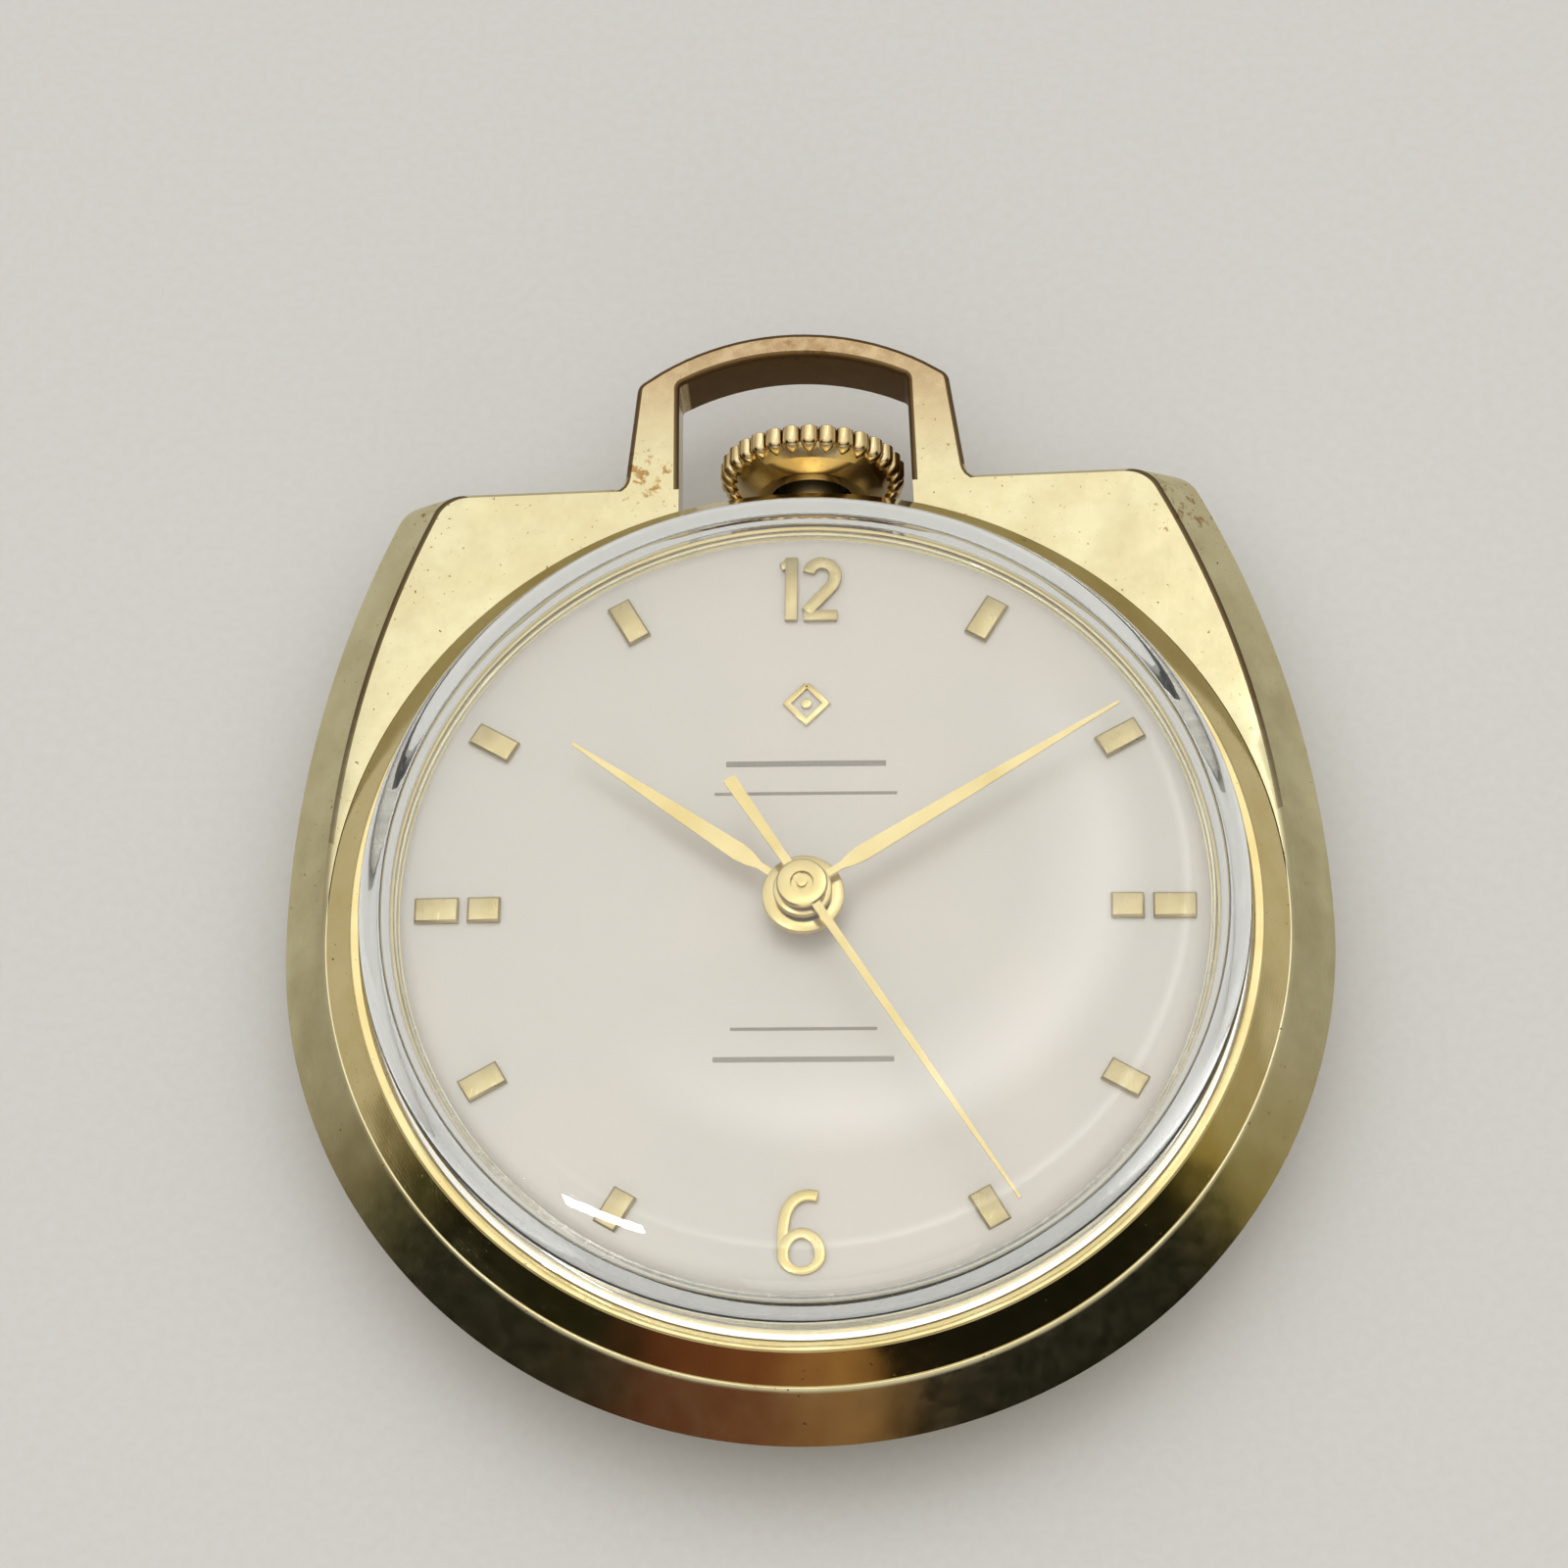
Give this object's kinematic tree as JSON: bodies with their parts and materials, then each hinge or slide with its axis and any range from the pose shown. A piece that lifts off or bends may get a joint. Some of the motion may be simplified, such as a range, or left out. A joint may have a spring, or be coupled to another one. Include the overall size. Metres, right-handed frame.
{
  "type": "fob watch",
  "caption": "Round gold-plated fob watch in a flat frame with a bow, domed crystal, applied batons, centre seconds and a hand-wound movement.",
  "frame": {"origin": "middle of the flat outer face of the case back, on the axis of the hands", "axes": "+Z from the back to the dial, +Y from the centre to the bow at 12 o'clock, +X towards 3 o'clock"},
  "size_m": [0.0386, 0.0439, 0.0104],
  "materials": {
    "gold_plate": "worn polished gold plating over brass",
    "crystal": "clear domed acrylic, lightly scratched",
    "dial_silver": "fine-grained silvered dial with a faint warm tint",
    "applied_gilt": "polished gilt batons, figures and hands",
    "movement_nickel": "nickel-plated brass plate and bridges, grained",
    "train_brass": "polished gilt brass wheels",
    "blued_steel": "blued steel screws and springs",
    "polished_steel": "polished steel pinions, levers and arbors",
    "ruby": "synthetic ruby",
    "gasket_rubber": "nitrile rubber ring"
  },
  "bodies": {
    "case": {"frame_with_bow": "gold_plate", "case_middle": "gold_plate", "bezel": "gold_plate", "crystal": "crystal", "case_back": "gold_plate", "movement_ring": "movement_nickel", "movement_clamps": "movement_nickel", "pendant_tube": "gold_plate", "setting_spring": "blued_steel", "main_plate": "movement_nickel", "barrel_bridge": "movement_nickel", "train_bridge": "movement_nickel", "pallet_bridge": "movement_nickel", "balance_cock": "movement_nickel", "bridge_screws": "blued_steel", "jewels": "ruby", "crown_wheel_core": "polished_steel", "click_screw": "blued_steel", "click_spring": "blued_steel", "hairspring": "blued_steel", "regulator": "polished_steel", "dial_washer": "train_brass", "dial": "dial_silver", "dial_screws": "blued_steel", "hour_markers": "applied_gilt", "numeral_12": "applied_gilt", "numeral_6": "applied_gilt", "dial_emblem": "applied_gilt"},
    "seconds": {"fourth_wheel": "train_brass", "seconds_hand": "applied_gilt"},
    "minutes": {"centre_wheel": "train_brass", "cannon_pinion": "polished_steel", "minute_hand": "applied_gilt"},
    "hours": {"hour_wheel": "train_brass", "hour_hand": "applied_gilt"},
    "third": {"third_wheel": "train_brass"},
    "barrel": {"barrel_drum": "train_brass", "barrel_cover": "train_brass", "mainspring": "blued_steel"},
    "ratchet": {"ratchet_wheel": "polished_steel", "barrel_arbor": "polished_steel", "ratchet_screw": "blued_steel"},
    "crown_wheel_turning": {"crown_wheel": "polished_steel"},
    "click_lever": {"click": "polished_steel"},
    "escape": {"escape_wheel": "polished_steel"},
    "pallets": {"pallet_fork": "polished_steel", "pallet_stones": "ruby"},
    "balance": {"balance_wheel": "train_brass", "balance_staff": "polished_steel", "impulse_jewel": "ruby"},
    "minute_works": {"minute_wheel": "train_brass"},
    "setting_works": {"setting_wheel": "polished_steel"},
    "winding": {"winding_pinion": "polished_steel"},
    "crown_and_stem": {"crown": "gold_plate", "stem": "polished_steel", "crown_gasket": "gasket_rubber"},
    "sliding": {"sliding_pinion": "polished_steel"},
    "setting_detent": {"setting_lever": "polished_steel"},
    "yoke_lever": {"yoke": "polished_steel"}
  },
  "joints": [
    {"name": "seconds_turn", "type": "hinge", "parent": "case", "child": "seconds", "pos_m": [0, 0, 0.008], "axis": [0, 0, -1], "continuous": true},
    {"name": "third_turn", "type": "hinge", "parent": "case", "child": "third", "pos_m": [0.00338, -0.00123, 0.0035], "axis": [0, 0, -1], "continuous": true},
    {"name": "minutes_turn", "type": "hinge", "parent": "case", "child": "minutes", "pos_m": [0, 0, 0.005], "axis": [0, 0, -1], "continuous": true},
    {"name": "barrel_turn", "type": "hinge", "parent": "case", "child": "barrel", "pos_m": [-0.00548, 0.00147, 0.004], "axis": [0, 0, -1], "continuous": true},
    {"name": "escape_turn", "type": "hinge", "parent": "case", "child": "escape", "pos_m": [0, -0.00366, 0.0038], "axis": [0, 0, -1], "continuous": true},
    {"name": "minute_works_turn", "type": "hinge", "parent": "case", "child": "minute_works", "pos_m": [0.00177, 0.00257, 0.0054], "axis": [0, 0, -1], "continuous": true},
    {"name": "hours_turn", "type": "hinge", "parent": "case", "child": "hours", "pos_m": [0, 0, 0.007], "axis": [0, 0, -1], "continuous": true},
    {"name": "setting_wheel_turn", "type": "hinge", "parent": "case", "child": "setting_works", "pos_m": [0.002, 0.0062, 0.0054], "axis": [0, 0, -1], "continuous": true},
    {"name": "crown_turn", "type": "hinge", "parent": "case", "child": "winding", "pos_m": [0, 0.0087, 0.00375], "axis": [0, 1, 0], "continuous": true},
    {"name": "crown_wheel_turn", "type": "hinge", "parent": "case", "child": "crown_wheel_turning", "pos_m": [0, 0.00583, 0.0023], "axis": [0, 0, 1], "continuous": true},
    {"name": "ratchet_turn", "type": "hinge", "parent": "case", "child": "ratchet", "pos_m": [-0.00548, 0.00147, 0.0023], "axis": [0, 0, 1], "continuous": true},
    {"name": "crown_pull", "type": "slide", "parent": "winding", "child": "crown_and_stem", "axis": [0, 1, 0], "range_m": [0, 0.0006]},
    {"name": "sliding_pinion_shift", "type": "slide", "parent": "winding", "child": "sliding", "axis": [0, -1, 0], "range_m": [0, 0.0006]},
    {"name": "setting_lever_swing", "type": "hinge", "parent": "case", "child": "setting_detent", "pos_m": [-0.0026, 0.0106, 0.0055], "axis": [0, 0, 1], "range_deg": [-2, 15]},
    {"name": "yoke_swing", "type": "hinge", "parent": "case", "child": "yoke_lever", "pos_m": [-0.0034, 0.0076, 0.0055], "axis": [0, 0, -1], "range_deg": [-2, 12]},
    {"name": "balance_swing", "type": "hinge", "parent": "case", "child": "balance", "pos_m": [-0.0046, -0.0064, 0.0027], "axis": [0, 0, 1], "range_deg": [-270, 270], "stiffness_Nm_per_rad": 0.0000003},
    {"name": "pallet_swing", "type": "hinge", "parent": "case", "child": "pallets", "pos_m": [-0.00208, -0.0049, 0.0039], "axis": [0, 0, 1], "range_deg": [-5.5, 5.5]},
    {"name": "click_lift", "type": "hinge", "parent": "case", "child": "click_lever", "pos_m": [-0.00829, 0.00677, 0.0023], "axis": [0, 0, 1], "range_deg": [0, 8], "stiffness_Nm_per_rad": 0.000002}
  ],
  "couplings": [
    {"joint": "third_turn", "follows": "seconds_turn", "ratio": -0.13333},
    {"joint": "minutes_turn", "follows": "seconds_turn", "ratio": 0.016667},
    {"joint": "barrel_turn", "follows": "seconds_turn", "ratio": -0.0027778},
    {"joint": "escape_turn", "follows": "seconds_turn", "ratio": -10},
    {"joint": "minute_works_turn", "follows": "seconds_turn", "ratio": -0.0055556},
    {"joint": "hours_turn", "follows": "seconds_turn", "ratio": 0.0013889},
    {"joint": "setting_wheel_turn", "follows": "seconds_turn", "ratio": 0.01},
    {"joint": "crown_wheel_turn", "follows": "crown_turn", "ratio": 0.5},
    {"joint": "ratchet_turn", "follows": "crown_turn", "ratio": -0.29545},
    {"joint": "sliding_pinion_shift", "follows": "crown_pull", "ratio": 1},
    {"joint": "setting_lever_swing", "follows": "crown_pull", "rad_per_m": 384.62},
    {"joint": "yoke_swing", "follows": "crown_pull", "rad_per_m": 294.12}
  ]
}
